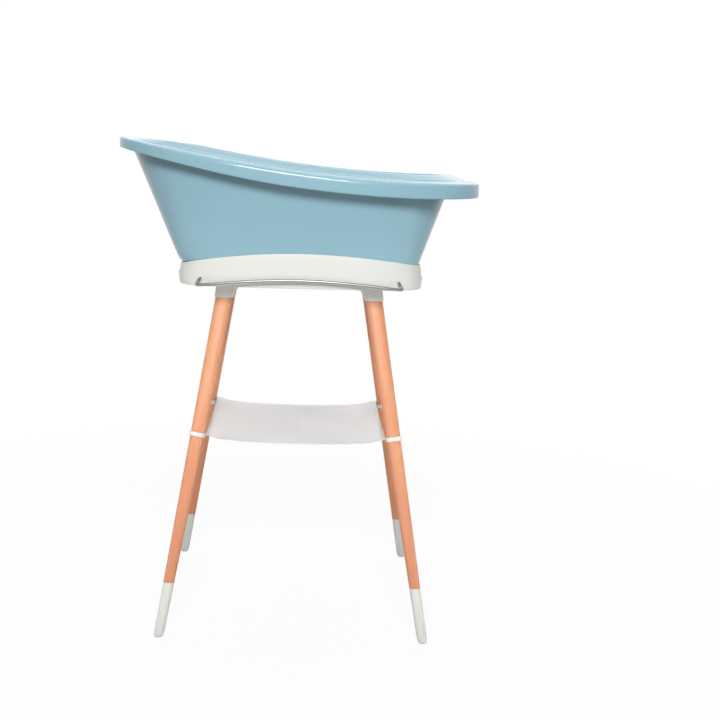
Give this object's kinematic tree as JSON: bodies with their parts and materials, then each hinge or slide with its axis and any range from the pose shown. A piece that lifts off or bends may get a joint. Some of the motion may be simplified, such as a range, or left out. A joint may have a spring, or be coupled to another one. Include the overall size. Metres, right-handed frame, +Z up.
{
  "type": "baby bathtub on a stand",
  "caption": "Oval moulded baby bathtub with a raised head end, seated in a white support ring on a splayed wooden stand with towel rails, a fabric shelf, a bath seat and a drain.",
  "frame": {"origin": "on the ground, under the middle of the tub's rim", "axes": "+X along the tub from the high head end to the low foot end, +Y across it, +Z up"},
  "size_m": [0.784, 0.5178, 1.0614],
  "materials": {
    "tub_plastic": "satin gloss moulded plastic, dusty blue",
    "seat_plastic": "glossy moulded plastic, pale blue",
    "ring_plastic": "warm white moulded plastic",
    "cap_plastic": "pale grey white plastic",
    "hose_plastic": "white flexible plastic",
    "beech": "beech, clear satin lacquer",
    "steel": "satin steel wire",
    "shelf_fabric": "white coated fabric",
    "grey_rubber": "blue grey translucent rubber",
    "dark_rubber": "dark grey rubber"
  },
  "bodies": {
    "stand": {"support_ring": "ring_plastic", "towel_rail_front": "steel", "towel_rail_back": "steel", "leg_socket_front_left": "cap_plastic", "leg_socket_front_right": "cap_plastic", "leg_socket_back_left": "cap_plastic", "leg_socket_back_right": "cap_plastic", "leg_bolt_front_left": "steel", "leg_bolt_front_right": "steel", "leg_bolt_back_left": "steel", "leg_bolt_back_right": "steel", "leg_front_left": "beech", "leg_front_right": "beech", "leg_back_left": "beech", "leg_back_right": "beech", "foot_cap_front_left": "cap_plastic", "foot_cap_front_right": "cap_plastic", "foot_cap_back_left": "cap_plastic", "foot_cap_back_right": "cap_plastic", "storage_shelf": "shelf_fabric", "shelf_loop_front_left": "shelf_fabric", "shelf_loop_front_right": "shelf_fabric", "shelf_loop_back_left": "shelf_fabric", "shelf_loop_back_right": "shelf_fabric"},
    "tub": {"tub_shell": "tub_plastic", "drain_flange": "cap_plastic", "drain_gasket": "dark_rubber", "drain_nut": "cap_plastic", "hose_connector": "hose_plastic", "hose_tube": "hose_plastic"},
    "plug": {"drain_plug": "dark_rubber", "plug_pull_ring": "steel"},
    "bath_seat": {"seat_shell": "seat_plastic", "suction_stem": "grey_rubber", "suction_cup": "grey_rubber"},
    "button_left": {"release_button_left": "ring_plastic"},
    "button_right": {"release_button_right": "ring_plastic"}
  },
  "joints": [
    {"name": "tub_lift", "type": "slide", "parent": "stand", "child": "tub", "axis": [0, 0, 1], "range_m": [0, 0.25]},
    {"name": "seat_lift", "type": "slide", "parent": "tub", "child": "bath_seat", "axis": [0, 0, 1], "range_m": [0, 0.3]},
    {"name": "plug_lift", "type": "slide", "parent": "tub", "child": "plug", "axis": [0, 0, 1], "range_m": [0, 0.08]},
    {"name": "button_left_press", "type": "slide", "parent": "stand", "child": "button_left", "axis": [1, 0, 0], "range_m": [0, 0.004], "stiffness_N_per_m": 500},
    {"name": "button_right_press", "type": "slide", "parent": "stand", "child": "button_right", "axis": [-1, 0, 0], "range_m": [0, 0.004], "stiffness_N_per_m": 500}
  ]
}
